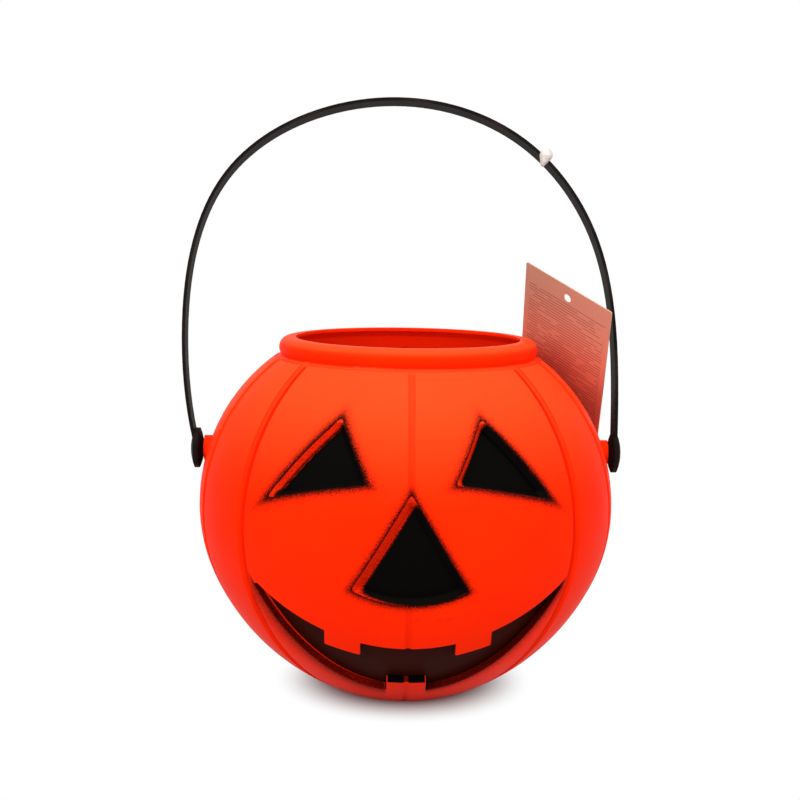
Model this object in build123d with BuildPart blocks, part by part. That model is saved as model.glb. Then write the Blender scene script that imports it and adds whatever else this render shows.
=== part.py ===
from build123d import *

import os
from math import asin, cos, degrees, hypot, radians, sin, sqrt

# Pumpkin candy pail. Origin at the middle of the foot, +Z up, the face towards -Y, millimetres.
# Azimuths are measured about Z from the front (-Y), positive towards +X.

# Globe: a meridian of three tangent arcs, with one even wall behind it
belly_radius = 90.0
belly_height = 80.8
crown_radius = 79.5
flank_radius = 72.0
flank_angle = 24.0
bowl_radius = 99.5
wall = 1.4
foot_width = 7.0
push_up = 4.0
scar_length = 34.0
scar_width = 1.2
scar_height = 0.5

# Rim: a slightly conical band with its lip turned in
neck_height = 144.6
rim_rise = 8.6
rim_base_radius = 55.0
rim_bulge_radius = 55.9
rim_bulge_rise = 3.4
rim_top_radius = 53.2
rim_round = 4.0
neck_fillet = 1.2
mouth_radius = 48.8
lip_thickness = 1.6

# Ribs: round grooves from the neck down, left out across the face, and a finer seam down the front
groove_pitch = 24.0
face_groove_counts = (-3, -2, 2, 3)
back_groove_counts = (-3, -2, -1, 0, 1, 2, 3)
groove_radius = 3.0
groove_depth = 1.2
seam_radius = 2.0
seam_depth = 0.55
groove_overrun = 6.0

# Face: recesses of one depth with sloped walls, sketched on planes facing out from the globe's middle
recess_depth = 3.5
recess_slope = 2.6
eye_azimuth = 24.2
eye_elevation = 19.4
eye_outer_corner = (23.6, -14.6)
eye_apex = (-4.0, 20.3)
eye_inner_corner = (-19.8, -5.6)
eye_round = 3.2
nose_rise = 21.5
nose_half_width = 22.9
nose_drop = 17.0
nose_chin_drop = 22.7
nose_round = 3.2
mouth_elevation = -25.0
mouth_half_width = 63.0
mouth_tip_rise = 9.4
mouth_upper_drop = 6.7
mouth_lower_drop = 40.2
tooth_outer = 33.0
tooth_inner = 18.6
tooth_outer_drop = 10.4
tooth_inner_drop = 12.8
chin_tooth_half_width = 8.1
chin_tooth_drop = 31.0
tooth_round = 1.1
recess_reach = 45.0
skin_tolerance = 0.001

# Handle: a flat strap hoop with a domed disc and a snap peg at each end
pivot_height = 103.5
boss_radius = 5.5
boss_stand = 0.2
boss_sink = 6.0
peg_radius = 2.5
peg_clearance = 0.3
peg_head_radius = 3.7
peg_tip_radius = 2.2
peg_head_length = 3.4
seat_gap = 0.3
disc_radius = 8.75
disc_edge = 2.0
disc_dome = 1.8
disc_round = 0.8
handle_lean = 9.0
strap_width = 11.0
strap_thickness = 1.4
strap_rise = 153.8
strap_apex_shift = -8.0
strap_left_bulge = 6.4
strap_left_bulge_height = 55.0
strap_left_haunch_inset = 12.2
strap_left_haunch_drop = 32.3
strap_right_shoulder_inset = 38.7
strap_right_shoulder_drop = 19.4
strap_right_haunch_inset = 10.4
strap_right_haunch_drop = 57.3
strap_right_side_inset = 1.0
strap_right_side_drop = 98.8

# Loop lock: a small moulded bead that straddles the strap's front edge
lock_place = 0.671
lock_radius = 2.9
lock_length = 8.3
lock_tail_radius = 1.0
lock_tilt = 20.0
lock_stand = 0.6
lock_clearance = 0.15

# Hang tag: a card that leans on the right rear of the shoulder
tag_width = 48.5
tag_height = 86.0
tag_thickness = 0.5
tag_corner = 1.0
tag_hole_radius = 2.0
tag_hole_drop = 6.5
tag_azimuth = 126.3
tag_elevation = 25.9
tag_roll = 27.0
tag_seat_side = 16.0
tag_seat_rise = 6.0
tag_gap = 0.3

# Worked out from the sizes above
start_azimuth = 2.5 * groove_pitch
globe_centre = (0, 0, belly_height)
rim_height = neck_height + rim_rise
groove_azimuths = [count * groove_pitch for count in face_groove_counts]
groove_azimuths += [180 + count * groove_pitch for count in back_groove_counts]
flank_end_height = belly_height - flank_radius * sin(radians(flank_angle))
bowl_centre_radius = belly_radius - flank_radius + (flank_radius - bowl_radius) * cos(radians(flank_angle))
bowl_centre_height = belly_height - (flank_radius - bowl_radius) * sin(radians(flank_angle))
void_top = neck_height - wall
lip_height = rim_height - lip_thickness


def skin_radius(height: float, inset: float = 0.0) -> float:
    """Radius of the globe's skin, or of a skin lying inset inside it, at a height."""
    if height >= belly_height:
        crown = crown_radius - inset
        return belly_radius - crown_radius + sqrt(crown**2 - (height - belly_height) ** 2)
    if height >= flank_end_height:
        flank = flank_radius - inset
        return belly_radius - flank_radius + sqrt(flank**2 - (height - belly_height) ** 2)
    bowl = bowl_radius - inset
    return bowl_centre_radius + sqrt(bowl**2 - (height - bowl_centre_height) ** 2)


def facing(azimuth: float, elevation: float) -> Vector:
    """Unit vector out of the globe at an azimuth and an elevation."""
    level = cos(radians(elevation))
    return Vector(sin(radians(azimuth)) * level, -cos(radians(azimuth)) * level, sin(radians(elevation)))


def meridian(azimuth: float) -> Plane:
    """Upright plane through Z whose x runs out along the azimuth and whose y is up."""
    turn = radians(azimuth)
    return Plane(origin=(0, 0, 0), x_dir=(sin(turn), -cos(turn), 0), z_dir=(-cos(turn), -sin(turn), 0))


def face_plane(azimuth: float, elevation: float) -> Plane:
    """Plane through the globe's middle that looks out along a direction, with its x level."""
    level = (cos(radians(azimuth)), sin(radians(azimuth)), 0)
    return Plane(origin=globe_centre, x_dir=level, z_dir=facing(azimuth, elevation))


def globe(inset: float, top: float) -> None:
    """Revolve the globe's meridian, inset from the skin and cut level at the top."""
    crown_angle = degrees(asin((top - belly_height) / (crown_radius - inset)))
    bowl_end = degrees(asin((bowl_centre_height - inset) / (bowl_radius - inset)))
    with BuildSketch(meridian(start_azimuth)) as section:
        with BuildLine():
            crown = JernArc((belly_radius - inset, belly_height), (0, 1), crown_radius - inset, crown_angle)
            flank = JernArc((belly_radius - inset, belly_height), (0, -1), flank_radius - inset, -flank_angle)
            bowl = JernArc(flank @ 1, flank % 1, bowl_radius - inset, flank_angle - bowl_end)
            foot_inner = (bowl @ 1).X - foot_width
            Polyline(bowl @ 1, (foot_inner, inset), (0, push_up + inset), (0, top), crown @ 1)
        make_face()
    revolve(section.sketch, axis=Axis.Z)


def cut_eye(side: int, margin: float) -> None:
    """Cut one eye, a rounded triangle, on the given side (1 right, -1 left)."""
    with BuildSketch(face_plane(side * eye_azimuth, eye_elevation).offset(recess_reach)) as outline:
        with BuildLine():
            corners = [(side * u, v) for u, v in (eye_outer_corner, eye_apex, eye_inner_corner)]
            Polyline(*corners, close=True)
        make_face()
        fillet(vertices(), eye_round)
        offset(amount=margin)
    extrude(outline.sketch, amount=belly_radius, mode=Mode.SUBTRACT)


def cut_nose(margin: float) -> None:
    """Cut the nose, a triangle with a bowed lower edge."""
    with BuildSketch(face_plane(0, 0).offset(recess_reach)) as outline:
        with BuildLine():
            left, right = (-nose_half_width, -nose_drop), (nose_half_width, -nose_drop)
            Polyline(left, (0, nose_rise), right)
            ThreePointArc(right, (0, -nose_chin_drop), left)
        make_face()
        fillet(vertices(), nose_round)
        offset(amount=margin)
    extrude(outline.sketch, amount=belly_radius, mode=Mode.SUBTRACT)


def parabola(half_width: float, mid_drop: float) -> Bezier:
    """Parabola from one corner of the mouth to the other through a point on its middle line."""
    left, right = (-half_width, mouth_tip_rise), (half_width, mouth_tip_rise)
    return Bezier(left, (0, -2 * mid_drop - mouth_tip_rise), right)


def cut_mouth(margin: float) -> None:
    """Cut the grin between two parabolas, less two upper teeth and one in the chin, a margin wider all round."""
    half_width = mouth_half_width + 2 * margin
    outer, inner = tooth_outer - margin, tooth_inner + margin
    chin_tooth_top = chin_tooth_drop + margin
    chin_tooth_foot = mouth_lower_drop + 2 * margin
    with BuildSketch(face_plane(0, mouth_elevation).offset(recess_reach)) as outline:
        with BuildLine():
            parabola(half_width, mouth_upper_drop - margin)
            parabola(half_width, mouth_lower_drop + margin)
        make_face()
        for side in (1, -1):
            with BuildLine():
                Polyline(
                    (side * outer, mouth_tip_rise),
                    (side * outer, margin - tooth_outer_drop),
                    (side * inner, margin - tooth_inner_drop),
                    (side * inner, mouth_tip_rise),
                    close=True,
                )
            make_face(mode=Mode.SUBTRACT)
        with Locations((0, -(chin_tooth_top + chin_tooth_foot) / 2)):
            Rectangle(
                2 * (chin_tooth_half_width - margin),
                chin_tooth_foot - chin_tooth_top,
                mode=Mode.SUBTRACT,
            )
        fillet(vertices(), tooth_round)
    extrude(outline.sketch, amount=belly_radius, mode=Mode.SUBTRACT)


def recess_lip(edge: Edge) -> bool:
    """Whether an edge is the lip of a recess: it lies in the globe's skin and is no circle of it."""
    on_skin = [abs(hypot(v.X, v.Y) - skin_radius(v.Z)) < skin_tolerance for v in edge.vertices()]
    return all(on_skin) and edge.geom_type != GeomType.CIRCLE


def groove_tool(radius: float, depth: float, grow: float) -> Part:
    """Round bar along the front meridian that bites into the skin from above the neck to below the foot."""
    stand = radius - depth
    reach = crown_radius + stand
    crown_angle = degrees(asin((neck_height + groove_overrun - belly_height) / reach))
    bowl_angle = degrees(asin(bowl_centre_height / bowl_radius)) - flank_angle
    with BuildPart() as tool:
        with BuildLine(meridian(0)) as path:
            top = (
                belly_radius - crown_radius + reach * cos(radians(crown_angle)),
                neck_height + groove_overrun,
            )
            heading = (sin(radians(crown_angle)), -cos(radians(crown_angle)))
            crown = JernArc(top, heading, reach, -crown_angle)
            flank = JernArc(crown @ 1, crown % 1, flank_radius + stand, -flank_angle)
            bowl = JernArc(flank @ 1, flank % 1, bowl_radius + stand, -bowl_angle)
            Line(bowl @ 1, bowl @ 1 + groove_overrun * (bowl % 1))
        with BuildSketch(Plane(path.line @ 0, x_dir=facing(0, crown_angle), z_dir=path.line % 0)):
            Circle(radius + grow)
        sweep(path=path.line)
    return tool.part


def ring(*points: tuple[float, float]) -> None:
    """Revolve a straight-sided section, given as (radius, height) points, about Z."""
    with BuildSketch(meridian(start_azimuth)) as section:
        with BuildLine():
            Polyline(*points, close=True)
        make_face()
    revolve(section.sketch, axis=Axis.Z)


# Places on the base and along the hinge line, from the pivot boss outwards
scar_end_height = push_up * (1 - scar_length / 2 / (skin_radius(0) - foot_width))
hinge_line = Axis((0, 0, pivot_height), (1, 0, 0))
boss_face = skin_radius(pivot_height - boss_radius) + boss_stand
disc_inner = boss_face + seat_gap
disc_outer = disc_inner + 2 * disc_dome + disc_edge
disc_centre = (disc_inner + disc_outer) / 2
head_end = boss_face - wall - seat_gap
head_start = head_end - peg_head_length

# Air inside the pail, which follows the skin at one wall's distance
with BuildPart() as pail_void:
    globe(wall, void_top)
    tool = groove_tool(groove_radius, groove_depth, wall)
    for azimuth in groove_azimuths:
        add(tool.rotate(Axis.Z, azimuth), mode=Mode.SUBTRACT)
    for side in (1, -1):
        cut_eye(side, wall)
    cut_nose(wall)
    cut_mouth(wall)
    globe(recess_depth + wall, void_top)
    ring(
        (0, void_top),
        (rim_base_radius - wall, void_top),
        (rim_top_radius - wall, rim_height - rim_round),
        (rim_top_radius - rim_round, lip_height),
        (0, lip_height),
    )
    ring((0, lip_height), (mouth_radius, lip_height), (mouth_radius, rim_height), (0, rim_height))
    for side in (1, -1):
        with BuildSketch(Plane.YZ.offset(side * (boss_face - wall))) as pocket:
            with Locations((0, pivot_height)):
                Circle(boss_radius - wall)
        extrude(pocket.sketch, amount=-side * boss_sink)

# Pail: globe, grooves, recessed face, rim and pivot bosses around that air
with BuildPart() as pail_body:
    globe(0, neck_height)
    tool = groove_tool(groove_radius, groove_depth, 0)
    for azimuth in groove_azimuths:
        add(tool.rotate(Axis.Z, azimuth), mode=Mode.SUBTRACT)
    for side in (1, -1):
        cut_eye(side, -recess_slope)
        chamfer(edges(Select.LAST).filter_by(recess_lip), recess_slope)
    cut_nose(-recess_slope)
    chamfer(edges(Select.LAST).filter_by(recess_lip), recess_slope)
    add(groove_tool(seam_radius, seam_depth, 0), mode=Mode.SUBTRACT)
    cut_mouth(0)
    globe(recess_depth, neck_height)
    with BuildSketch(meridian(start_azimuth)) as rim_section:
        with BuildLine():
            corner = JernArc((rim_base_radius + neck_fillet, neck_height), (-1, 0), neck_fillet, -90)
            bulge = ThreePointArc(
                corner @ 1,
                (rim_bulge_radius, neck_height + rim_bulge_rise),
                (rim_top_radius, rim_height),
            )
            Polyline(
                bulge @ 1,
                (0, rim_height),
                (0, neck_height),
                corner @ 0,
            )
        make_face()
        fillet(vertices().group_by(Axis.Y)[-1].sort_by(Axis.X)[-1], rim_round)
    revolve(rim_section.sketch, axis=Axis.Z)
    for side in (1, -1):
        with BuildSketch(Plane.YZ.offset(side * boss_face)) as boss:
            with Locations((0, pivot_height)):
                Circle(boss_radius)
        extrude(boss.sketch, amount=-side * boss_sink)
    add(pail_void.part, mode=Mode.SUBTRACT)
    with BuildSketch(Plane.YZ) as peg_hole:
        with Locations((0, pivot_height)):
            Circle(peg_radius + peg_clearance)
    extrude(peg_hole.sketch, amount=belly_radius, both=True, mode=Mode.SUBTRACT)
    with BuildSketch(Plane.YZ) as scar:
        with BuildLine():
            Polyline(
                (-scar_length / 2, scar_end_height - scar_height),
                (0, push_up - scar_height),
                (scar_length / 2, scar_end_height - scar_height),
                (scar_length / 2, scar_end_height + wall / 2),
                (0, push_up + wall / 2),
                (-scar_length / 2, scar_end_height + wall / 2),
                close=True,
            )
        make_face()
    extrude(scar.sketch, amount=scar_width / 2, both=True)
pail_body.part.label = "pail_body"

# Handle: a domed disc with a snap peg at each end of the hoop
hinge_plane = Plane(origin=(0, 0, pivot_height), x_dir=(1, 0, 0), z_dir=(0, -1, 0))
hoop_front = (0, -cos(radians(handle_lean)), sin(radians(handle_lean)))
hoop_plane = Plane(origin=hinge_plane.origin, x_dir=hinge_plane.x_dir, z_dir=hoop_front)
with BuildPart() as handle_strap:
    with BuildSketch(hinge_plane) as disc_section:
        with BuildLine():
            inner = TangentArc((disc_inner, 0), (disc_inner + disc_dome, disc_radius), tangent=(0, 1))
            rim = Line(inner @ 1, (disc_outer - disc_dome, disc_radius))
            TangentArc((disc_outer, 0), rim @ 1, tangent=(0, 1))
            Line((disc_inner, 0), (disc_outer, 0))
        make_face()
        with BuildLine():
            Polyline(
                (head_start, 0),
                (head_start, peg_tip_radius),
                (head_end, peg_head_radius),
                (head_end, peg_radius),
                (disc_centre, peg_radius),
                (disc_centre, 0),
                close=True,
            )
        make_face()
    revolve(disc_section.sketch, axis=hinge_line)
    mirror(about=Plane.YZ)
    with BuildSketch(hoop_plane) as strap_section:
        with BuildLine() as hoop:
            Spline(
                (-disc_centre, 0),
                (-disc_centre - strap_left_bulge, strap_left_bulge_height),
                (strap_left_haunch_inset - disc_centre, strap_rise - strap_left_haunch_drop),
                (strap_apex_shift, strap_rise),
                (disc_centre - strap_right_shoulder_inset, strap_rise - strap_right_shoulder_drop),
                (disc_centre - strap_right_haunch_inset, strap_rise - strap_right_haunch_drop),
                (disc_centre - strap_right_side_inset, strap_rise - strap_right_side_drop),
                (disc_centre, 0),
            )
        trace(line_width=strap_thickness)
    extrude(strap_section.sketch, amount=strap_width / 2, both=True)
handle_strap.part.label = "handle_strap"

# Loop lock: a teardrop bead across the strap, slotted over its front edge
lock_spot = hoop.line @ lock_place
lock_run = hoop.line % lock_place
lock_tail = Vector(-sin(radians(lock_tilt)), -cos(radians(lock_tilt)))
lock_head = lock_spot - lock_tail * (lock_length / 2 - lock_radius)
front_edge = hoop_plane.offset(strap_width / 2 + lock_clearance)
lock_plane = Plane(
    origin=front_edge.offset(lock_stand).from_local_coords(lock_head),
    x_dir=hoop_plane.from_local_coords(lock_tail) - hoop_plane.origin,
    z_dir=hoop_plane.z_dir,
)
slot_plane = Plane(
    origin=front_edge.from_local_coords(lock_spot),
    x_dir=hoop_plane.from_local_coords(lock_run) - hoop_plane.origin,
    z_dir=hoop_plane.z_dir,
)
with BuildPart() as loop_lock:
    with BuildSketch(lock_plane) as teardrop:
        Circle(lock_radius)
        with Locations((lock_length - lock_radius - lock_tail_radius, 0)):
            Circle(lock_tail_radius)
        make_hull()
        split(bisect_by=Plane.XZ)
    revolve(teardrop.sketch, axis=Axis(lock_plane.origin, lock_plane.x_dir))
    with BuildSketch(slot_plane) as slot:
        Rectangle(2 * lock_length, strap_thickness + 2 * lock_clearance)
    extrude(slot.sketch, amount=-lock_length, mode=Mode.SUBTRACT)
loop_lock.part.label = "loop_lock"

# Hang tag: a card whose plane just clears the skin at its seat
seat_radius = belly_radius - crown_radius * (1 - cos(radians(tag_elevation)))
tag_normal = facing(tag_azimuth, tag_elevation)
tag_seat = facing(tag_azimuth, 0) * seat_radius
tag_seat += Vector(0, 0, belly_height + crown_radius * sin(radians(tag_elevation)))
tag_level = Vector(cos(radians(tag_azimuth)), sin(radians(tag_azimuth)), 0)
tag_across = tag_level.rotate(Axis((0, 0, 0), tag_normal), tag_roll)
tag_plane = Plane(origin=tag_seat + tag_normal * tag_gap, x_dir=tag_across, z_dir=tag_normal)
with BuildPart() as hang_tag:
    with BuildSketch(tag_plane) as card:
        with Locations((tag_seat_side - tag_width / 2, tag_height / 2 - tag_seat_rise)):
            RectangleRounded(tag_width, tag_height, tag_corner)
        with Locations((tag_seat_side - tag_width / 2, tag_height - tag_seat_rise - tag_hole_drop)):
            Circle(tag_hole_radius, mode=Mode.SUBTRACT)
    extrude(card.sketch, amount=tag_thickness)
hang_tag.part.label = "hang_tag"

os.makedirs("parts", exist_ok=True)
for piece in (pail_body, handle_strap, loop_lock, hang_tag):
    export_step(piece.part, f"parts/{piece.part.label}.step")
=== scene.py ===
"""Looks of a pumpkin candy pail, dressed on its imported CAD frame.

Metres, +Z up, the face towards -Y, the handle's hinge line along X. Sizes of
the face, the paint, the grain and the card are in millimetres, angles in degrees.
"""

import logging
import math
from dataclasses import dataclass
from enum import Enum
from typing import Optional, Sequence, Union

import bpy
from mathutils import Matrix, Vector


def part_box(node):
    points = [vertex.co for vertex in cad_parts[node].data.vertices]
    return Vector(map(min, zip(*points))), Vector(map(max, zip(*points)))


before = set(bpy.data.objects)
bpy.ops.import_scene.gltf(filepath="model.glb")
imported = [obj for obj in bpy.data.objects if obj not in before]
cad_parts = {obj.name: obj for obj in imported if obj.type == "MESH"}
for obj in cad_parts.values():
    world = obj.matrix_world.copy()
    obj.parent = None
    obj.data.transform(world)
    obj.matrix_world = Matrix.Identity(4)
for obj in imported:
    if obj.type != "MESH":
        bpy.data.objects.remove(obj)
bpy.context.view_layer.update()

LOG = logging.getLogger("pail")
MM = 0.001
HALF_TURN = 180.0
PHOTO_SIDE = 800
BEVEL_SAMPLES = 6
NOISE_MIDDLE = 0.5
ORIGIN = (0.0, 0.0, 0.0)
X_AXIS = (1.0, 0.0, 0.0)
Y_AXIS = (0.0, 1.0, 0.0)
Z_AXIS = (0.0, 0.0, 1.0)
WITHOUT_Y = (1.0, 0.0, 1.0)
WITHOUT_Z = (1.0, 1.0, 0.0)
# Sockets of the Mix node when it mixes colours
MIX_SHARE = 0
MIX_FIRST = 6
MIX_SECOND = 7
MIX_RESULT = 2

SHADER = "Principled BSDF"
NUMBER = "NodeSocketFloat"
VECTOR = "NodeSocketVector"

Colour = tuple[float, float, float]
Place = tuple[float, float, float]
Point = tuple[float, float]
Span = tuple[float, float]
Socket = bpy.types.NodeSocket
Feed = Union[Socket, float, Sequence[float]]


class Side(Enum):
    """The two sides of the face, as the sign of X."""

    LEFT = -1
    RIGHT = 1


class Feature(Enum):
    """The recessed shapes of the face."""

    LEFT_EYE = "left_eye"
    RIGHT_EYE = "right_eye"
    NOSE = "nose"
    MOUTH = "mouth"


class NodeBoard:
    """A node tree with short calls for the nodes that the finishes share."""

    def __init__(self, tree: bpy.types.NodeTree) -> None:
        """Hold the node tree of a material, a world or a group."""
        self.tree = tree

    def add(self, kind: str) -> bpy.types.Node:
        """Add a node of a kind."""
        return self.tree.nodes.new(kind)

    def feed(self, socket: Socket, value: Feed) -> None:
        """Link a socket to another, or set its own value.

        Args:
            socket: The input to feed.
            value: A socket to link from, or a plain value.
        """
        if isinstance(value, Socket):
            self.tree.links.new(value, socket)
        elif socket.type == "RGBA" and len(value) == 3:
            socket.default_value = (*value, 1.0)
        else:
            socket.default_value = value

    def feed_named(self, node: bpy.types.Node, values: dict[str, Feed]) -> None:
        """Feed several inputs of a node.

        Args:
            node: The node.
            values: What goes in, by the input's name with underscores for spaces.
        """
        for name, value in values.items():
            self.feed(node.inputs[name.replace("_", " ")], value)

    def math(self, operation: str, first: Feed, second: Feed = 0.0, third: Feed = 0.0) -> Socket:
        """Do arithmetic on numbers.

        Args:
            operation: Name of the Math node's operation.
            first: First operand.
            second: Second operand, where the operation has one.
            third: Third operand, where the operation has one.

        Returns:
            The result's socket.
        """
        node = self.add("ShaderNodeMath")
        node.operation = operation
        for socket, value in zip(node.inputs, (first, second, third)):
            self.feed(socket, value)
        return node.outputs[0]

    def vector(self, operation: str, first: Feed, second: Feed) -> Socket:
        """Do arithmetic on vectors.

        Args:
            operation: Name of the Vector Math node's operation.
            first: First operand.
            second: Second operand.

        Returns:
            The number that a dot product or a distance gives, else the vector.
        """
        node = self.add("ShaderNodeVectorMath")
        node.operation = operation
        self.feed(node.inputs[0], first)
        self.feed(node.inputs[1], second)
        return node.outputs["Value" if operation in ("DOT_PRODUCT", "DISTANCE") else "Vector"]

    def fold(self, operation: str, values: Sequence[Feed], third: float = 0.0) -> Socket:
        """Join several numbers by one operation, from the first to the last.

        Args:
            operation: Name of the Math node's operation.
            values: The numbers.
            third: The operation's third operand, where it has one.

        Returns:
            The joined number's socket.
        """
        result = values[0]
        for value in values[1:]:
            result = self.math(operation, result, value, third)
        return result

    def most(self, *values: Feed) -> Socket:
        """Give the largest of several numbers."""
        return self.fold("MAXIMUM", values)

    def round_most(self, span: float, *values: Feed) -> Socket:
        """Give the largest of several numbers, eased over a span where two are near each other."""
        return self.fold("SMOOTH_MAX", values, span)

    def least(self, *values: Feed) -> Socket:
        """Give the smallest of several numbers."""
        return self.fold("MINIMUM", values)

    def product(self, *values: Feed) -> Socket:
        """Give the product of several numbers."""
        return self.fold("MULTIPLY", values)

    def ramp(self, value: Feed, start: float, end: float, low: float = 0.0, high: float = 1.0) -> Socket:
        """Ease from one level to another as a value passes a span.

        Args:
            value: The number that is mapped.
            start: Where the easing begins.
            end: Where it ends.
            low: Level before the start.
            high: Level after the end.

        Returns:
            The eased level's socket.
        """
        node = self.add("ShaderNodeMapRange")
        node.interpolation_type = "SMOOTHSTEP"
        levels = {"From_Min": start, "From_Max": end, "To_Min": low, "To_Max": high}
        self.feed_named(node, {"Value": value, **levels})
        return node.outputs["Result"]

    def noise(self, place: Feed, rate: Feed, detail: float) -> Socket:
        """Give smooth noise around one half.

        Args:
            place: Position.
            rate: Features in one unit of the position.
            detail: Octaves of finer noise.

        Returns:
            The noise's socket.
        """
        node = self.add("ShaderNodeTexNoise")
        self.feed_named(node, {"Vector": place, "Scale": rate, "Detail": detail})
        return node.outputs["Fac"]

    def mix(self, share: Feed, first: Feed, second: Feed) -> Socket:
        """Mix two colours.

        Args:
            share: How much of the second shows.
            first: First colour.
            second: Second colour.

        Returns:
            The mixed colour's socket.
        """
        node = self.add("ShaderNodeMix")
        node.data_type = "RGBA"
        self.feed(node.inputs[MIX_SHARE], share)
        self.feed(node.inputs[MIX_FIRST], first)
        self.feed(node.inputs[MIX_SECOND], second)
        return node.outputs[MIX_RESULT]

    def bevel(self, radius: float) -> Socket:
        """Give a normal that rounds sharp edges off.

        Args:
            radius: Radius of the rounding, in millimetres.

        Returns:
            The normal's socket.
        """
        node = self.add("ShaderNodeBevel")
        node.samples = BEVEL_SAMPLES
        self.feed(node.inputs["Radius"], radius * MM)
        return node.outputs["Normal"]

    def bump(self, height: Feed, depth: float, normal: Optional[Socket] = None) -> Socket:
        """Turn a height into a normal.

        Args:
            height: Height from zero to one.
            depth: What a height of one stands for, in millimetres.
            normal: A normal to build on.

        Returns:
            The normal's socket.
        """
        node = self.add("ShaderNodeBump")
        self.feed_named(node, {"Distance": depth * MM, "Height": height})
        if normal is not None:
            self.feed(node.inputs["Normal"], normal)
        return node.outputs["Normal"]

    def object_place(self) -> Socket:
        """Give the position on the piece, in the object's own frame."""
        return self.add("ShaderNodeTexCoord").outputs["Object"]

    def seen(self) -> Socket:
        """Give one on rays from the camera, a reflection or a clear piece, and zero on other rays."""
        path = self.add("ShaderNodeLightPath").outputs
        return self.most(path["Is Camera Ray"], path["Is Glossy Ray"], path["Is Transmission Ray"])


class SharedEffect:
    """A shader node group, built once and placed as often as it is needed."""

    def __init__(self, name: str, inputs: dict[str, str], outputs: dict[str, str]) -> None:
        """Make an empty group.

        Args:
            name: The group's name.
            inputs: Socket kinds by name, going in.
            outputs: Socket kinds by name, coming out.
        """
        self.tree = bpy.data.node_groups.new(name, "ShaderNodeTree")
        for direction, sockets in (("INPUT", inputs), ("OUTPUT", outputs)):
            for socket, kind in sockets.items():
                self.tree.interface.new_socket(name=socket, in_out=direction, socket_type=kind)
        self.board = NodeBoard(self.tree)
        self.given = self.board.add("NodeGroupInput").outputs
        self.result = self.board.add("NodeGroupOutput").inputs

    def place(self, board: NodeBoard, **values: Feed) -> bpy.types.NodeOutputs:
        """Put the group in a finish.

        Args:
            board: The finish's node tree.
            values: What goes into the group's inputs, by name with underscores for spaces.

        Returns:
            The placed group's outputs.
        """
        node = board.add("ShaderNodeGroup")
        node.node_tree = self.tree
        board.feed_named(node, values)
        return node.outputs


def mould_grain() -> SharedEffect:
    """Build the grain that moulded plastic and card share.

    Returns:
        A group with a broad mottle and a fine height, both from zero to one.
    """
    details = {"Mottle": 3.0, "Grain": 2.0}
    rates = {f"{name} Scale": NUMBER for name in details}
    effect = SharedEffect("mould_grain", {"Place": VECTOR, **rates}, dict.fromkeys(details, NUMBER))
    board, given = effect.board, effect.given
    for name, detail in details.items():
        board.feed(effect.result[name], board.noise(given["Place"], given[f"{name} Scale"], detail))
    return effect


@dataclass(frozen=True)
class FacePlane:
    """A plane through the globe's middle that looks out along a direction."""

    azimuth: float
    elevation: float

    def axes(self) -> tuple[Vector, Vector]:
        """Find the plane's own axes.

        Returns:
            The level and the upward unit vector.
        """
        turn, rise = math.radians(self.azimuth), math.radians(self.elevation)
        level = Vector((math.cos(turn), math.sin(turn), 0.0))
        out = Vector((math.sin(turn) * math.cos(rise), -math.cos(turn) * math.cos(rise), math.sin(rise)))
        return level, out.cross(level)


MARK_MEASURES = ("Gap",)
MOUTH_MEASURES = ("Gap", "Lower Lip", "Chin Top", "Lip Reach")


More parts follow.
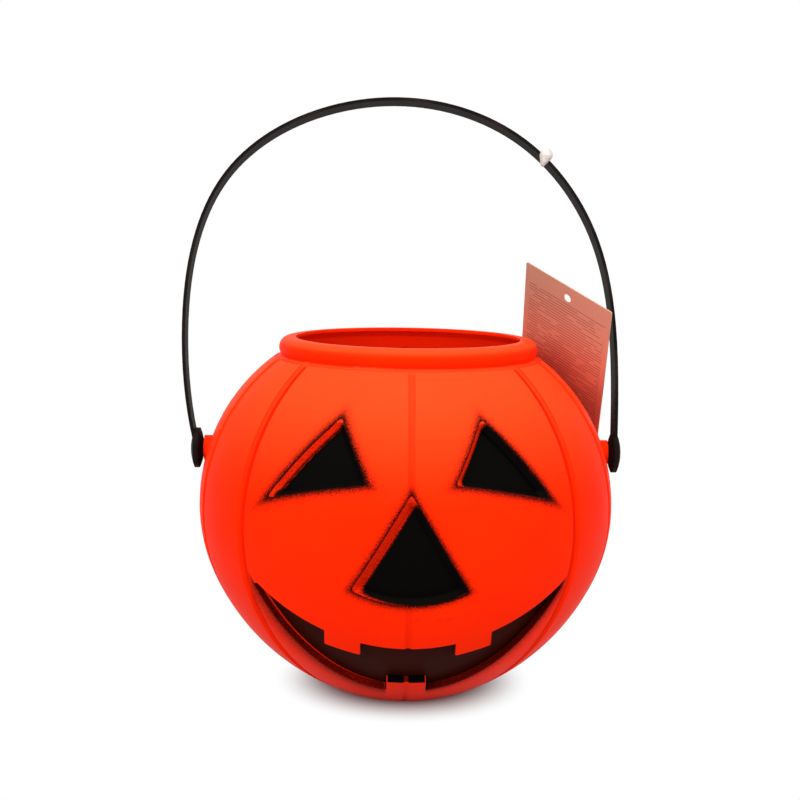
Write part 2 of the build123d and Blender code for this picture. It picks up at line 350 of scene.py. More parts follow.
@dataclass(frozen=True)
class FaceForm:
    """Outlines of the recessed face, in millimetres from the globe's middle."""

    globe_middle: float = 80.8
    eye_azimuth: float = 24.2
    eye_elevation: float = 19.4
    eye_corners: tuple[Point, ...] = ((23.6, -14.6), (-4.0, 20.3), (-19.8, -5.6))
    nose_rise: float = 21.5
    nose_half_width: float = 22.9
    nose_drop: float = 17.0
    nose_chin_drop: float = 22.7
    mouth_elevation: float = -25.0
    mouth_half_width: float = 63.0
    mouth_tip_rise: float = 9.4
    mouth_upper_drop: float = 6.7
    mouth_lower_drop: float = 40.2
    tooth_outer: float = 33.0
    tooth_inner: float = 18.6
    tooth_outer_drop: float = 10.4
    tooth_inner_drop: float = 12.8
    chin_tooth_half_width: float = 8.1
    chin_tooth_drop: float = 31.0
    chin_line_inset: float = 0.5
    chin_line_half_height: float = 0.4
    chin_line_half_split: float = 0.7
    corner_ease: float = 3.0
    tip_fade: Span = (-1.5, 2.5)
    chin_fade: Span = (-0.5, 0.5)

    def edge(self, board: NodeBoard, place: Feed, plane: FacePlane, start: Point, end: Point) -> Socket:
        """Measure how far a place lies outside one straight edge, on the right of its run.

        Args:
            board: Node tree to build in.
            place: Position from the globe's middle, in millimetres.
            plane: Plane that the edge is drawn on.
            start: Edge's start on the plane.
            end: Edge's end on the plane.

        Returns:
            Distance outside the edge, in millimetres.
        """
        level, up = plane.axes()
        run = Vector(end) - Vector(start)
        outward = Vector((run.y, -run.x)).normalized()
        reach = outward.dot(Vector(start))
        normal = level * outward.x + up * outward.y
        return board.math("SUBTRACT", board.vector("DOT_PRODUCT", place, normal), reach)

    def eye(self, board: NodeBoard, place: Feed, side: Side) -> Socket:
        """Measure how far a place lies outside one eye, whose corners run counter-clockwise.

        Args:
            board: Node tree to build in.
            place: Position from the globe's middle, in millimetres.
            side: Which eye.

        Returns:
            Distance outside the eye, in millimetres.
        """
        plane = FacePlane(side.value * self.eye_azimuth, self.eye_elevation)
        corners = [(side.value * u, v) for u, v in self.eye_corners]
        if side is Side.LEFT:
            corners.reverse()
        ends = [*corners[1:], corners[0]]
        edges = [self.edge(board, place, plane, start, end) for start, end in zip(corners, ends)]
        return board.round_most(self.corner_ease, *edges)

    def nose(self, board: NodeBoard, place: Feed) -> Socket:
        """Measure how far a place lies outside the nose, with its bowed lower edge.

        Args:
            board: Node tree to build in.
            place: Position from the globe's middle, in millimetres.

        Returns:
            Distance outside the nose, in millimetres.
        """
        plane = FacePlane(0.0, 0.0)
        bow = self.nose_chin_drop - self.nose_drop
        radius = (self.nose_half_width**2 + bow**2) / (2 * bow)
        flat = board.vector("MULTIPLY", place, WITHOUT_Y)
        middle = (0.0, 0.0, radius - self.nose_chin_drop)
        lower = board.math("SUBTRACT", board.vector("DISTANCE", flat, middle), radius)
        left, right = (-self.nose_half_width, -self.nose_drop), (self.nose_half_width, -self.nose_drop)
        top = (0.0, self.nose_rise)
        sides = [self.edge(board, place, plane, right, top), self.edge(board, place, plane, top, left)]
        return board.round_most(self.corner_ease, lower, *sides)

    def above_lip(self, board: NodeBoard, across: Feed, height: Feed, mid_drop: float) -> Socket:
        """Measure how far a place lies above one lip of the mouth, a parabola.

        Args:
            board: Node tree to build in.
            across: Place along the mouth, in millimetres.
            height: Place up the mouth's plane, in millimetres.
            mid_drop: Lip's drop on the middle line.

        Returns:
            Height above the lip, square to it.
        """
        bend = (self.mouth_tip_rise + mid_drop) / self.mouth_half_width**2
        lip = board.math("MULTIPLY_ADD", board.math("MULTIPLY", across, across), bend, -mid_drop)
        slope = board.math("MULTIPLY", across, 2 * bend)
        stretch = board.math("SQRT", board.math("MULTIPLY_ADD", slope, slope, 1.0))
        return board.math("DIVIDE", board.math("SUBTRACT", height, lip), stretch)

    def mouth(self, board: NodeBoard, place: Feed) -> tuple[Socket, ...]:
        """Measure a place against the grin and its teeth.

        Args:
            board: Node tree to build in.
            place: Position from the globe's middle, in millimetres.

        Returns:
            Distances outside the grin, below its lower lip and off the line along the chin
            tooth's top, and the mask of the lower lip between that tooth and the tips.
        """
        level, up = FacePlane(0.0, self.mouth_elevation).axes()
        across = board.vector("DOT_PRODUCT", place, level)
        height = board.vector("DOT_PRODUCT", place, up)
        aside = board.math("ABSOLUTE", across)
        above = self.above_lip(board, across, height, self.mouth_upper_drop)
        below = board.math("MULTIPLY", self.above_lip(board, across, height, self.mouth_lower_drop), -1.0)
        past_tip = board.math("SUBTRACT", aside, self.mouth_half_width)
        fall = (self.tooth_inner_drop - self.tooth_outer_drop) / (self.tooth_outer - self.tooth_inner)
        foot_on_middle = -self.tooth_outer_drop - fall * self.tooth_outer
        tooth_foot = board.math("MULTIPLY_ADD", aside, fall, foot_on_middle)
        upper_tooth = board.most(
            board.math("SUBTRACT", aside, self.tooth_outer),
            board.math("SUBTRACT", self.tooth_inner, aside),
            board.math("SUBTRACT", tooth_foot, height),
        )
        over_chin = board.math("ADD", height, self.chin_tooth_drop)
        beside_chin = board.math("SUBTRACT", aside, self.chin_tooth_half_width)
        teeth = board.least(upper_tooth, board.most(beside_chin, over_chin))
        grin = board.most(above, below, past_tip, board.math("MULTIPLY", teeth, -1.0))
        short_of_tip = board.ramp(past_tip, *self.tip_fade, low=1.0, high=0.0)
        lip_reach = board.math("MULTIPLY", short_of_tip, board.ramp(beside_chin, *self.chin_fade))
        chin_top = board.most(
            board.math("ADD", beside_chin, self.chin_line_inset),
            board.math("SUBTRACT", board.math("ABSOLUTE", over_chin), self.chin_line_half_height),
            board.math("SUBTRACT", self.chin_line_half_split, aside),
        )
        return grin, below, chin_top, lip_reach

    def measure(self, board: NodeBoard, place: Feed, feature: Feature) -> tuple[Socket, ...]:
        """Measure a place against one shape of the face.

        Args:
            board: Node tree to build in.
            place: Position from the globe's middle, in millimetres.
            feature: The shape.

        Returns:
            The mouth's measures or a mark's one, in the order that their names are listed in.
        """
        if feature is Feature.MOUTH:
            return self.mouth(board, place)
        if feature is Feature.NOSE:
            return (self.nose(board, place),)
        return (self.eye(board, place, Side.LEFT if feature is Feature.LEFT_EYE else Side.RIGHT),)

    def stencil(self, feature: Feature) -> SharedEffect:
        """Build the group that measures how far a place lies outside one shape of the face.

        Args:
            feature: The shape.

        Returns:
            A group with the gap to the shape in millimetres, and for the mouth its other measures.
        """
        names = MOUTH_MEASURES if feature is Feature.MOUTH else MARK_MEASURES
        effect = SharedEffect(f"{feature.value}_outline", {"Place": VECTOR}, dict.fromkeys(names, NUMBER))
        board = effect.board
        from_middle = board.vector("SUBTRACT", effect.given["Place"], (0.0, 0.0, self.globe_middle * MM))
        place = board.vector("DIVIDE", from_middle, (MM, MM, MM))
        for name, measure in zip(names, self.measure(board, place, feature)):
            board.feed(effect.result[name], measure)
        return effect


class Finish:
    """A material with its own node tree and one Principled shader."""

    def start(
        self, name: str, roughness: float, sheen: float = 0.5, coat: float = 0.0
    ) -> tuple[bpy.types.Material, NodeBoard]:
        """Make the material and set what is the same all over it.

        Args:
            name: Material's name.
            roughness: Roughness where nothing is linked to it.
            sheen: Level of the mirror reflection.
            coat: Weight of the clear coat.

        Returns:
            The material and its node board.
        """
        material = bpy.data.materials.new(name)
        material.use_nodes = True
        board = NodeBoard(material.node_tree)
        self.shade(board, Roughness=roughness, Specular_IOR_Level=sheen, Coat_Weight=coat)
        return material, board

    def shade(self, board: NodeBoard, **values: Feed) -> None:
        """Feed the shader's inputs, by name with underscores for spaces."""
        board.feed_named(board.tree.nodes[SHADER], values)


@dataclass(frozen=True)
class MarkSpray:
    """How the paint of an eye or the nose was sprayed, with lengths in millimetres.

    The stencil sat askew by the slip, and its coat stops the inset short of the
    shape's lip. Mist settled on the lip and drifted past the coat's own edge.
    """

    slip: Place
    inset: float
    lip_mist: float
    lip_width: float
    drift: float
    drift_width: float


@dataclass(frozen=True)
class GrinSpray:
    """How the mouth's paint was sprayed, with lengths in millimetres.

    The stencil sat askew by the slip. Mist settled below the lower lip, in a
    band whose width changes over the turn at the middle of the face.
    """

    slip: Place = (1.9, 0.0, -0.1)
    mist: float = 0.80
    left_width: float = 8.5
    right_width: float = 5.0
    turn: float = 12.0


MARK_SPRAYS = {
    Feature.LEFT_EYE: MarkSpray(
        slip=(1.4, 0.0, -1.0), inset=1.1, lip_mist=0.95, lip_width=3.9, drift=0.95, drift_width=1.5
    ),
    Feature.RIGHT_EYE: MarkSpray(
        slip=(1.6, 0.0, -0.5), inset=1.0, lip_mist=0.90, lip_width=3.4, drift=1.0, drift_width=2.0
    ),
    Feature.NOSE: MarkSpray(
        slip=(2.4, 0.0, -1.3), inset=1.6, lip_mist=0.90, lip_width=3.0, drift=1.0, drift_width=1.8
    ),
}


@dataclass(frozen=True)
class FacePaint:
    """Black paint sprayed through a stencil that sat a little askew.

    Rates are in features per metre. A facing is the reach of the surface's
    normal away from the globe's middle, in metres, and is small on a wall.
    """

    form: FaceForm = FaceForm()
    grin: GrinSpray = GrinSpray()
    speck_rate: float = 2400.0
    speck_detail: float = 1.0
    fray_rate: float = 420.0
    fray_detail: float = 3.0
    fray_reach: float = 0.6
    coat_inset: float = 0.1
    coat_blur: float = 0.2
    # Overspray dusting with painted shade over the recess inside each eye's and the nose's lip
    dust_and_shade_blur: float = 0.1
    wall_dust_and_shade: float = 0.52
    mist_start: Span = (-0.6, -0.1)
    speckle_span: Span = (0.02, 0.3)
    speckle_depth: float = 0.8
    dusted_and_shaded_span: Span = (0.18, 1.0)
    thin_span: Span = (-0.3, -1.2)
    skin_facing: float = 0.02
    wall_facing: float = -0.06
    front_limit: float = -30.0

    def slipped(self, board: NodeBoard, place: Feed, slip: Place) -> Socket:
        """Move a place back by the stencil's slip in millimetres."""
        return board.vector("SUBTRACT", place, [shift * MM for shift in slip])

    def coat_gap(self, board: NodeBoard, fray: Feed, edge: Feed, lip: Feed) -> Socket:
        """Measure how far a place lies outside a coat that ends at a frayed edge, inside the lip.

        Args:
            board: Node tree to build in.
            fray: Raggedness around zero.
            edge: Distance outside the stencil's edge, in millimetres.
            lip: Distance outside the shape's lip, in millimetres.

        Returns:
            Distance outside the coat, in millimetres.
        """
        frayed = board.math("MULTIPLY_ADD", fray, self.fray_reach, edge)
        return board.most(frayed, board.math("SUBTRACT", lip, self.coat_inset))

    def coat(self, board: NodeBoard, gap: Feed) -> Socket:
        """Build a coat's mask from the distance outside it."""
        return board.ramp(gap, -self.coat_blur, self.coat_blur, low=1.0, high=0.0)

    def mist(self, board: NodeBoard, gap: Feed, level: float, width: Feed) -> Socket:
        """Build the mist of paint that thins out with the distance from an edge.

        Args:
            board: Node tree to build in.
            gap: Distance outside the edge, in millimetres.
            level: Mist at the edge itself.
            width: Distance over which the mist thins out.

        Returns:
            The mist's strength, with none inside the edge.
        """
        falling = board.math("DIVIDE", board.math("MULTIPLY", gap, -1.0), width)
        fade = board.math("MINIMUM", board.math("POWER", math.e, falling), 1.0)
        return board.product(fade, level, board.ramp(gap, *self.mist_start))

    def spray_mark(
        self, board: NodeBoard, place: Feed, fray: Feed, feature: Feature
    ) -> tuple[Socket, Socket]:
        """Spray an eye or the nose.

        Args:
            board: Node tree to build in.
            place: Position in the object's own frame.
            fray: Raggedness around zero.
            feature: The shape.

        Returns:
            The coat's mask, and the strength of the mist together with the overspray dusting and painted
            shade inside the lip.
        """
        spray = MARK_SPRAYS[feature]
        outline = self.form.stencil(feature)
        lip = outline.place(board, Place=place)["Gap"]
        stencil = outline.place(board, Place=self.slipped(board, place, spray.slip))["Gap"]
        edge = board.math("ADD", stencil, spray.inset)
        drift = self.mist(board, edge, spray.drift, spray.drift_width)
        rim = self.mist(board, lip, spray.lip_mist, spray.lip_width)
        # Overspray dusting and painted shade: the whole recess inside the lip is darkened
        dust_and_shade = board.ramp(lip, self.dust_and_shade_blur, -self.dust_and_shade_blur, high=self.wall_dust_and_shade)
        return self.coat(board, self.coat_gap(board, fray, edge, lip)), board.most(drift, rim, dust_and_shade)

    def spray_grin(self, board: NodeBoard, place: Feed, fray: Feed) -> tuple[Socket, Socket, Socket]:
        """Spray the mouth.

        Args:
            board: Node tree to build in.
            place: Position in the object's own frame.
            fray: Raggedness around zero.

        Returns:
            The coat's mask, the mist's strength and the distance outside the mouth in millimetres.
        """
        outline = self.form.stencil(Feature.MOUTH)
        lips = outline.place(board, Place=place)
        stencil = outline.place(board, Place=self.slipped(board, place, self.grin.slip))
        inner = self.coat_gap(board, fray, stencil["Lower Lip"], lips["Gap"])
        coat = self.coat(board, board.least(inner, lips["Chin Top"]))
        sideways = board.vector("DOT_PRODUCT", place, X_AXIS)
        turn = self.grin.turn * MM
        widths = {"low": self.grin.left_width, "high": self.grin.right_width}
        width = board.ramp(sideways, -turn, turn, **widths)
        mist = self.mist(board, lips["Lower Lip"], self.grin.mist, width)
        return coat, board.math("MULTIPLY", mist, lips["Lip Reach"]), lips["Gap"]

    def masks(self, board: NodeBoard, place: Feed, facing: Feed) -> tuple[Socket, Socket]:
        """Build the masks of the whole sprayed face.

        Args:
            board: Node tree to build in.
            place: Position in the object's own frame.
            facing: The surface's facing.

        Returns:
            The paint's mask, which also holds painted shade inside the eyes' and the nose's recesses, and
            the mask of its thin brown coat on the mouth's floor.
        """
        speck = board.math("SUBTRACT", board.noise(place, self.speck_rate, self.speck_detail), NOISE_MIDDLE)
        ragged = board.math("SUBTRACT", board.noise(place, self.fray_rate, self.fray_detail), NOISE_MIDDLE)
        fray = board.math("ADD", speck, ragged)
        marks = [self.spray_mark(board, place, fray, feature) for feature in MARK_SPRAYS]
        mark_coats, mark_mists_and_shade = zip(*marks)
        grin_coat, grin_mist, grin_gap = self.spray_grin(board, place, fray)
        skin = board.math("GREATER_THAN", facing, self.skin_facing)
        wall = board.math("GREATER_THAN", facing, self.wall_facing)
        skin_mist_and_shade = board.math("MULTIPLY", board.most(*mark_mists_and_shade), skin)
        mist = board.most(skin_mist_and_shade, board.math("MULTIPLY", grin_mist, wall))
        speckle = board.math("MULTIPLY", speck, board.ramp(mist, *self.speckle_span))
        grainy = board.math("MULTIPLY_ADD", speckle, self.speckle_depth, mist)
        # The dusting darkens the eyes' and the nose's recesses as painted shade as well as overspray
        dusted_and_shaded = board.ramp(grainy, *self.dusted_and_shaded_span)
        coated = board.math("MULTIPLY", board.most(*mark_coats, grin_coat), wall)
        depth = board.vector("DOT_PRODUCT", place, Y_AXIS)
        front = board.math("LESS_THAN", depth, self.front_limit * MM)
        painted = board.math("MULTIPLY", board.most(coated, dusted_and_shaded), front)
        return painted, board.ramp(grin_gap, *self.thin_span)


@dataclass(frozen=True)
class PailFinish(Finish):
    """Satin orange moulding with painted shade along its grooves and front seam, a painted highlight where
    it looks up, and a painted face.

    Rates are in features per metre, and a facing is as in FacePaint.
    """

    orange: Colour = (0.92, 0.022, 0.0010)
    orange_deep: Colour = (0.87, 0.014, 0.0005)
    # Painted highlight: paler orange on skin that looks up, standing in for the top lamp's light
    painted_highlight: Colour = (0.95, 0.115, 0.026)
    painted_highlight_share: float = 0.34
    painted_highlight_rise: Span = (0.12, 0.8)
    painted_highlight_facing: Span = (0.055, 0.075)
    # Painted shade: darker orange along the grooves and, at a share, the front seam
    groove_shade_orange: Colour = (0.70, 0.0080, 0.0003)
    groove_pitch: float = 24.0
    groove_core: float = 0.3
    groove_half_width: float = 2.0
    groove_top: float = 144.5
    groove_end: float = 1.0
    seam_shade_share: float = 0.35
    glint: Colour = (1.0, 0.60, 0.30)
    black: Colour = (0.0015, 0.0015, 0.0015)
    brown_black: Colour = (0.026, 0.0030, 0.0016)
    roughness: float = 0.42
    paint_roughness: float = 0.50
    mottle_roughness: float = 0.06
    sheen: float = 0.02
    lip_round: float = 0.9
    mottle_rate: float = 26.0
    grain_rate: float = 1400.0
    grain_depth: float = 0.03

    def highlighted(self, board: NodeBoard, normal: Feed, facing: Feed) -> Socket:
        """Build the mask of the painted highlight, a paler orange painted on skin that looks up.

        Args:
            board: Node tree to build in.
            normal: The surface's normal.
            facing: The surface's facing.

        Returns:
            The painted highlight's share.
        """
        rise = board.vector("DOT_PRODUCT", normal, Z_AXIS)
        upward = board.ramp(rise, *self.painted_highlight_rise, high=self.painted_highlight_share)
        return board.math("MULTIPLY", upward, board.ramp(facing, *self.painted_highlight_facing))

    def groove_shade(self, board: NodeBoard, place: Feed) -> Socket:
        """Build the mask of the painted shade along the grooves between the ribs and along the front seam.

        Args:
            board: Node tree to build in.
            place: Position in the object's own frame.

        Returns:
            One along the middle of a groove, the seam's share on the seam, and zero on the ribs,
            the rim and the two groove lines that the face lacks.
        """
        parts = board.add("ShaderNodeSeparateXYZ")
        board.feed(parts.inputs[0], place)
        across, depth, height = parts.outputs
        turn = board.math("ARCTAN2", across, board.math("MULTIPLY", depth, -1.0))
        azimuth = board.math("DEGREES", board.math("ABSOLUTE", turn))
        nearest = board.math("MINIMUM", azimuth, board.math("SUBTRACT", HALF_TURN, azimuth))
        aside = board.math("RADIANS", board.math("PINGPONG", nearest, self.groove_pitch / 2))
        level = board.vector("MULTIPLY", place, WITHOUT_Z)
        reach = board.vector("DISTANCE", level, ORIGIN)
        gap = board.math("DIVIDE", board.math("MULTIPLY", aside, reach), MM)
        shaded_groove = board.ramp(gap, self.groove_core, self.groove_half_width, low=1.0, high=0.0)
        share = board.ramp(azimuth, self.groove_pitch / 4, self.groove_pitch / 2, low=self.seam_shade_share)
        lacking = board.math("COMPARE", azimuth, self.groove_pitch, self.groove_pitch / 2)
        below_neck = board.ramp(height, self.groove_top * MM, (self.groove_top - self.groove_end) * MM)
        return board.product(shaded_groove, share, board.math("SUBTRACT", 1.0, lacking), below_neck)

    def build(self, grain: SharedEffect, face: FacePaint) -> bpy.types.Material:
        """Build the material.

        Args:
            grain: Shared grain group.
            face: The sprayed face.

        Returns:
            The finished material.
        """
        material, board = self.start("pail_plastic", self.roughness, self.sheen)
        place = board.object_place()
        surface = grain.place(board, Place=place, Mottle_Scale=self.mottle_rate, Grain_Scale=self.grain_rate)
        mottle = surface["Mottle"]
        normal = board.add("ShaderNodeNewGeometry").outputs["Normal"]
        out = board.vector("SUBTRACT", place, (0.0, 0.0, face.form.globe_middle * MM))
        facing = board.vector("DOT_PRODUCT", normal, out)
        painted, thin = face.masks(board, place, facing)
        plain = board.mix(mottle, self.orange_deep, self.orange)
        # Painted highlight: paler orange mixed in where the skin looks up
        highlighted = board.mix(self.highlighted(board, normal, facing), plain, self.painted_highlight)
        # Painted shade: darker orange mixed in along the grooves and the front seam
        plastic = board.mix(self.groove_shade(board, place), highlighted, self.groove_shade_orange)
        colour = board.mix(painted, plastic, board.mix(thin, self.black, self.brown_black))
        rough = board.math("MULTIPLY_ADD", painted, self.paint_roughness - self.roughness, self.roughness)
        rough = board.math("MULTIPLY_ADD", mottle, self.mottle_roughness, rough)
        relief = board.bump(surface["Grain"], self.grain_depth, board.bevel(self.lip_round))
        self.shade(board, Base_Color=colour, Roughness=rough, Normal=relief, Specular_Tint=self.glint)
        return material


@dataclass(frozen=True)
class MouldedFinish(Finish):
    """Plain moulded plastic with a second tone where its mottle is strong.

    Rates are in features per metre.
    """

    name: str
    tone: Colour
    mottled: Colour
    mottled_span: Span
    mottle_rate: float
    grain_rate: float
    grain_depth: float
    roughness: float
    mottle_roughness: float
    lip_round: float
    sheen: float = 0.5
    coat: float = 0.0

    def build(self, grain: SharedEffect) -> bpy.types.Material:
        """Build the material.

        Args:
            grain: Shared grain group.

        Returns:
            The finished material.
        """
        material, board = self.start(self.name, self.roughness, self.sheen, self.coat)
        place = board.object_place()
        surface = grain.place(board, Place=place, Mottle_Scale=self.mottle_rate, Grain_Scale=self.grain_rate)
        mottle = surface["Mottle"]
        colour = board.mix(board.ramp(mottle, *self.mottled_span), self.tone, self.mottled)
        smoothest = self.roughness - self.mottle_roughness / 2
        rough = board.math("MULTIPLY_ADD", mottle, self.mottle_roughness, smoothest)
        relief = board.bump(surface["Grain"], self.grain_depth, board.bevel(self.lip_round))
        self.shade(board, Base_Color=colour, Roughness=rough, Normal=relief)
        return material


@dataclass(frozen=True)
class StrapFinish(MouldedFinish):
    """Satin black moulding with a faint brown cast, paler where it is rubbed."""

    name: str = "strap_plastic"
    tone: Colour = (0.0070, 0.0052, 0.0046)
    mottled: Colour = (0.018, 0.012, 0.010)
    mottled_span: Span = (0.45, 0.75)
    mottle_rate: float = 60.0
    grain_rate: float = 1800.0
    grain_depth: float = 0.03
    roughness: float = 0.52
    mottle_roughness: float = 0.16
    lip_round: float = 0.35
    sheen: float = 0.02


@dataclass(frozen=True)
class LockFinish(MouldedFinish):
    """Pearly white moulding, a little cloudy."""

    name: str = "lock_plastic"
    tone: Colour = (0.60, 0.54, 0.51)
    mottled: Colour = (0.44, 0.38, 0.35)
    mottled_span: Span = (0.35, 0.7)
    mottle_rate: float = 340.0
    grain_rate: float = 2400.0
    grain_depth: float = 0.02
    roughness: float = 0.28
    mottle_roughness: float = 0.12
    lip_round: float = 0.3
    coat: float = 0.35


@dataclass(frozen=True)
class CardFinish(Finish):
    """Salmon card, paler at the top, with plain ruled rows that are broken into strokes.

    Rates are in features per metre.
    """

    pale: Colour = (0.54, 0.27, 0.185)
    deep: Colour = (0.80, 0.185, 0.100)
    rule: Colour = (0.22, 0.055, 0.045)
    rule_share: float = 0.75
    fade_from: float = -30.0
    fade_to: float = 45.0
    azimuth: float = 126.3
    elevation: float = 25.9
    roll: float = 27.0
    half_width: float = 24.25
    margin: float = 2.6
    row_pitch: float = 1.5
    row_share: float = 0.30
    top_row: float = 34.0
    top_row_blur: float = 1.0
    stroke_rate: float = 120.0
    stroke_shift: float = 7.3
    stroke_cut: Span = (0.40, 0.44)
    roughness: float = 0.85
    grain_rate: float = 3200.0
    grain_depth: float = 0.04

    def axes(self) -> tuple[Vector, Vector]:
        """Find the card's own axes.

        Returns:
            The unit vectors across its width and up its height.
        """
        level, up = FacePlane(self.azimuth, self.elevation).axes()
        turn = math.radians(self.roll)
        return level * math.cos(turn) + up * math.sin(turn), up * math.cos(turn) - level * math.sin(turn)

    def ruled(self, board: NodeBoard, width: Feed, height: Feed, middle: Point) -> Socket:
        """Build the mask of the ruled rows.

        Args:
            board: Node tree to build in.
            width: Place across the card, in metres.
            height: Place up the card, in metres.
            middle: The card's middle across and up, in metres.

        Returns:
            One on a row's strokes, and zero between them, in the margins and above the top row.
        """
        row = board.math("DIVIDE", height, self.row_pitch * MM)
        band = board.math("LESS_THAN", board.math("FRACT", row), self.row_share)
        spread = board.add("ShaderNodeCombineXYZ")
        board.feed(spread.inputs["X"], board.math("MULTIPLY", width, self.stroke_rate))
        board.feed(spread.inputs["Y"], board.math("MULTIPLY", board.math("FLOOR", row), self.stroke_shift))
        strokes = board.ramp(board.noise(spread.outputs[0], rate=1.0, detail=1.0), *self.stroke_cut)
        top = middle[1] + self.top_row * MM
        below_head = board.ramp(height, top, top - self.top_row_blur * MM)
        aside = board.math("ABSOLUTE", board.math("SUBTRACT", width, middle[0]))
        inner = board.math("LESS_THAN", aside, (self.half_width - self.margin) * MM)
        return board.product(band, strokes, below_head, inner)

    def build(self, grain: SharedEffect) -> bpy.types.Material:
        """Build the material.

        Args:
            grain: Shared grain group.

        Returns:
            The finished material.
        """
        material, board = self.start("tag_card", self.roughness)
        place = board.object_place()
        axes = self.axes()
        width, height = (board.vector("DOT_PRODUCT", place, axis) for axis in axes)
        low, high = (Vector(corner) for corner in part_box("hang_tag"))
        middle = tuple(((low + high) / 2).dot(axis) for axis in axes)
        fade = board.ramp(height, middle[1] + self.fade_from * MM, middle[1] + self.fade_to * MM)
        ruled = board.math("MULTIPLY", self.ruled(board, width, height, middle), self.rule_share)
        colour = board.mix(ruled, board.mix(fade, self.deep, self.pale), self.rule)
        surface = grain.place(board, Place=place, Grain_Scale=self.grain_rate)
        self.shade(board, Base_Color=colour, Normal=board.bump(surface["Grain"], self.grain_depth))
        return material


@dataclass(frozen=True)
class FloorFinish(Finish):
    """A floor that keeps the object's shadow near it and is plain white further off, in metres."""

    grey: Colour = (0.40, 0.40, 0.40)
    roughness: float = 0.9
    shadow_span: Span = (0.030, 0.058)

    def build(self) -> bpy.types.Material:
        """Build the material.

        Returns:
            The finished material.
        """
        material, board = self.start("floor_white", self.roughness)
        self.shade(board, Base_Color=self.grey)
        nodes = material.node_tree.nodes
        far = board.ramp(board.vector("DISTANCE", board.object_place(), ORIGIN), *self.shadow_span)
        mixer = board.add("ShaderNodeMixShader")
        board.feed(mixer.inputs[0], board.math("MULTIPLY", board.seen(), far))
        board.feed(mixer.inputs[1], nodes[SHADER].outputs["BSDF"])
        board.feed(mixer.inputs[2], board.add("ShaderNodeEmission").outputs[0])
        board.feed(nodes["Material Output"].inputs["Surface"], mixer.outputs[0])
        return material


@dataclass
class Pail:
    """The four pieces of the pail, each in its own finish."""

    face: FacePaint
    pail: PailFinish
    strap: StrapFinish
    lock: LockFinish
    card: CardFinish

    def dress(self) -> None:
        """Give every piece of the frame its finish."""
        grain = mould_grain()
        finishes = {
            "pail_body": self.pail.build(grain, self.face),
            "handle_strap": self.strap.build(grain),
            "loop_lock": self.lock.build(grain),
            "hang_tag": self.card.build(grain),
        }
        for node, finish in finishes.items():
            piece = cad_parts[node]
            for slot in piece.material_slots:
                slot.material = finish
            LOG.info("%s wears %s", node, finish.name)


@dataclass(frozen=True)
class Lamp:
    """A square lamp, in metres and watts."""

    name: str
    place: Place
    side: float
    watts: float
    mirrored: bool

    def hang(self, aim: Place) -> None:
        """Add the lamp to the scene.

        Args:
            aim: The point that it looks at.
        """
        bpy.ops.object.light_add(type="AREA", location=self.place)
        lamp = bpy.context.active_object
        lamp.name = self.name
        lamp.data.size = self.side
        lamp.data.energy = self.watts
        lamp.visible_glossy = self.mirrored
        way = Vector(aim) - Vector(self.place)
        lamp.rotation_euler = way.to_track_quat("-Z", "Y").to_euler()


LAMPS = (
    Lamp("top", place=(-0.10, -0.50, 1.25), side=0.9, watts=10.6, mirrored=True),
    Lamp("left", place=(-0.75, -1.00, 0.45), side=0.8, watts=9.8, mirrored=False),
    Lamp("right", place=(0.85, -0.90, 0.45), side=0.8, watts=8.0, mirrored=False),
)


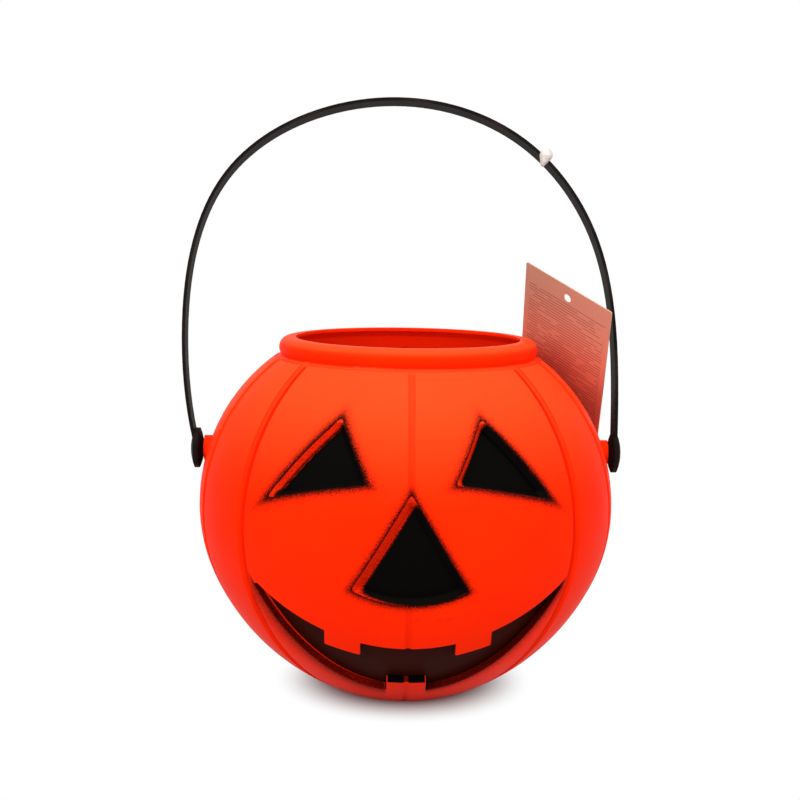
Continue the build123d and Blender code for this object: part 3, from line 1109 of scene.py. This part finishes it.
@dataclass
class Studio:
    """Pale floor, soft light and a camera at the photograph's angle.

    The focal length and the middle column are in pixels of the photograph, and
    the sensor is in millimetres.
    """

    floor: FloorFinish
    floor_side: float = 60.0
    sky_low: float = 0.14
    sky_high: float = 0.95
    sky_rise: Span = (0.0, 0.8)
    aim: Place = (0.0, 0.0, 0.09)
    camera_distance: float = 0.5853
    camera_height: float = 0.20545
    camera_turn: float = -1.5
    pitch: float = 7.76
    roll: float = 1.0
    focal_pixels: float = 1350.0
    middle_column: float = 407.3
    sensor: float = 36.0

    def add_floor(self) -> None:
        """Lay the floor."""
        bpy.ops.object.select_all(action="DESELECT")
        bpy.ops.mesh.primitive_plane_add(size=self.floor_side, location=(0, 0, 0))
        floor = bpy.context.active_object
        floor.name = "floor"
        floor.data.materials.append(self.floor.build())

    def light(self) -> None:
        """Set three large lamps and a soft sky, which is plain white where it is seen."""
        world = bpy.data.worlds.new("sky")
        bpy.context.scene.world = world
        world.use_nodes = True
        board = NodeBoard(world.node_tree)
        seen = board.seen()
        heading = board.add("ShaderNodeTexCoord").outputs["Generated"]
        rise = board.vector("DOT_PRODUCT", heading, Z_AXIS)
        sky = board.ramp(rise, *self.sky_rise, low=self.sky_low, high=self.sky_high)
        unseen = board.math("MULTIPLY", sky, board.math("SUBTRACT", 1.0, seen))
        backdrop = world.node_tree.nodes["Background"]
        board.feed_named(backdrop, {"Color": (1.0, 1.0, 1.0), "Strength": board.most(unseen, seen)})
        for lamp in LAMPS:
            lamp.hang(self.aim)

    def add_camera(self) -> None:
        """Set the camera where the photograph was taken."""
        pitch, roll = math.radians(self.pitch), math.radians(self.roll)
        turn = Matrix.Rotation(math.radians(self.camera_turn), 4, "Z")
        right = Vector(X_AXIS)
        up = Vector((0.0, math.sin(pitch), math.cos(pitch)))
        ahead = Vector((0.0, math.cos(pitch), -math.sin(pitch)))
        rolled_right = right * math.cos(roll) + up * math.sin(roll)
        rolled_up = up * math.cos(roll) - right * math.sin(roll)
        stand = Matrix((rolled_right, rolled_up, -ahead)).transposed().to_4x4()
        stand.translation = Vector((0.0, -self.camera_distance, self.camera_height))
        lens = bpy.data.cameras.new("photo_camera")
        lens.sensor_width = self.sensor
        lens.lens = self.focal_pixels / PHOTO_SIDE * self.sensor
        lens.shift_x = (PHOTO_SIDE / 2 - self.middle_column) / PHOTO_SIDE
        camera = bpy.data.objects.new("photo_camera", lens)
        bpy.context.scene.collection.objects.link(camera)
        camera.matrix_world = turn @ stand
        bpy.context.scene.camera = camera


def main() -> None:
    """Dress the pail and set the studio."""
    logging.basicConfig(level=logging.INFO)
    bpy.context.scene.view_settings.view_transform = "Standard"
    Pail(FacePaint(), PailFinish(), StrapFinish(), LockFinish(), CardFinish()).dress()
    studio = Studio(FloorFinish())
    studio.add_floor()
    studio.light()
    studio.add_camera()


if __name__ == "__main__":
    main()
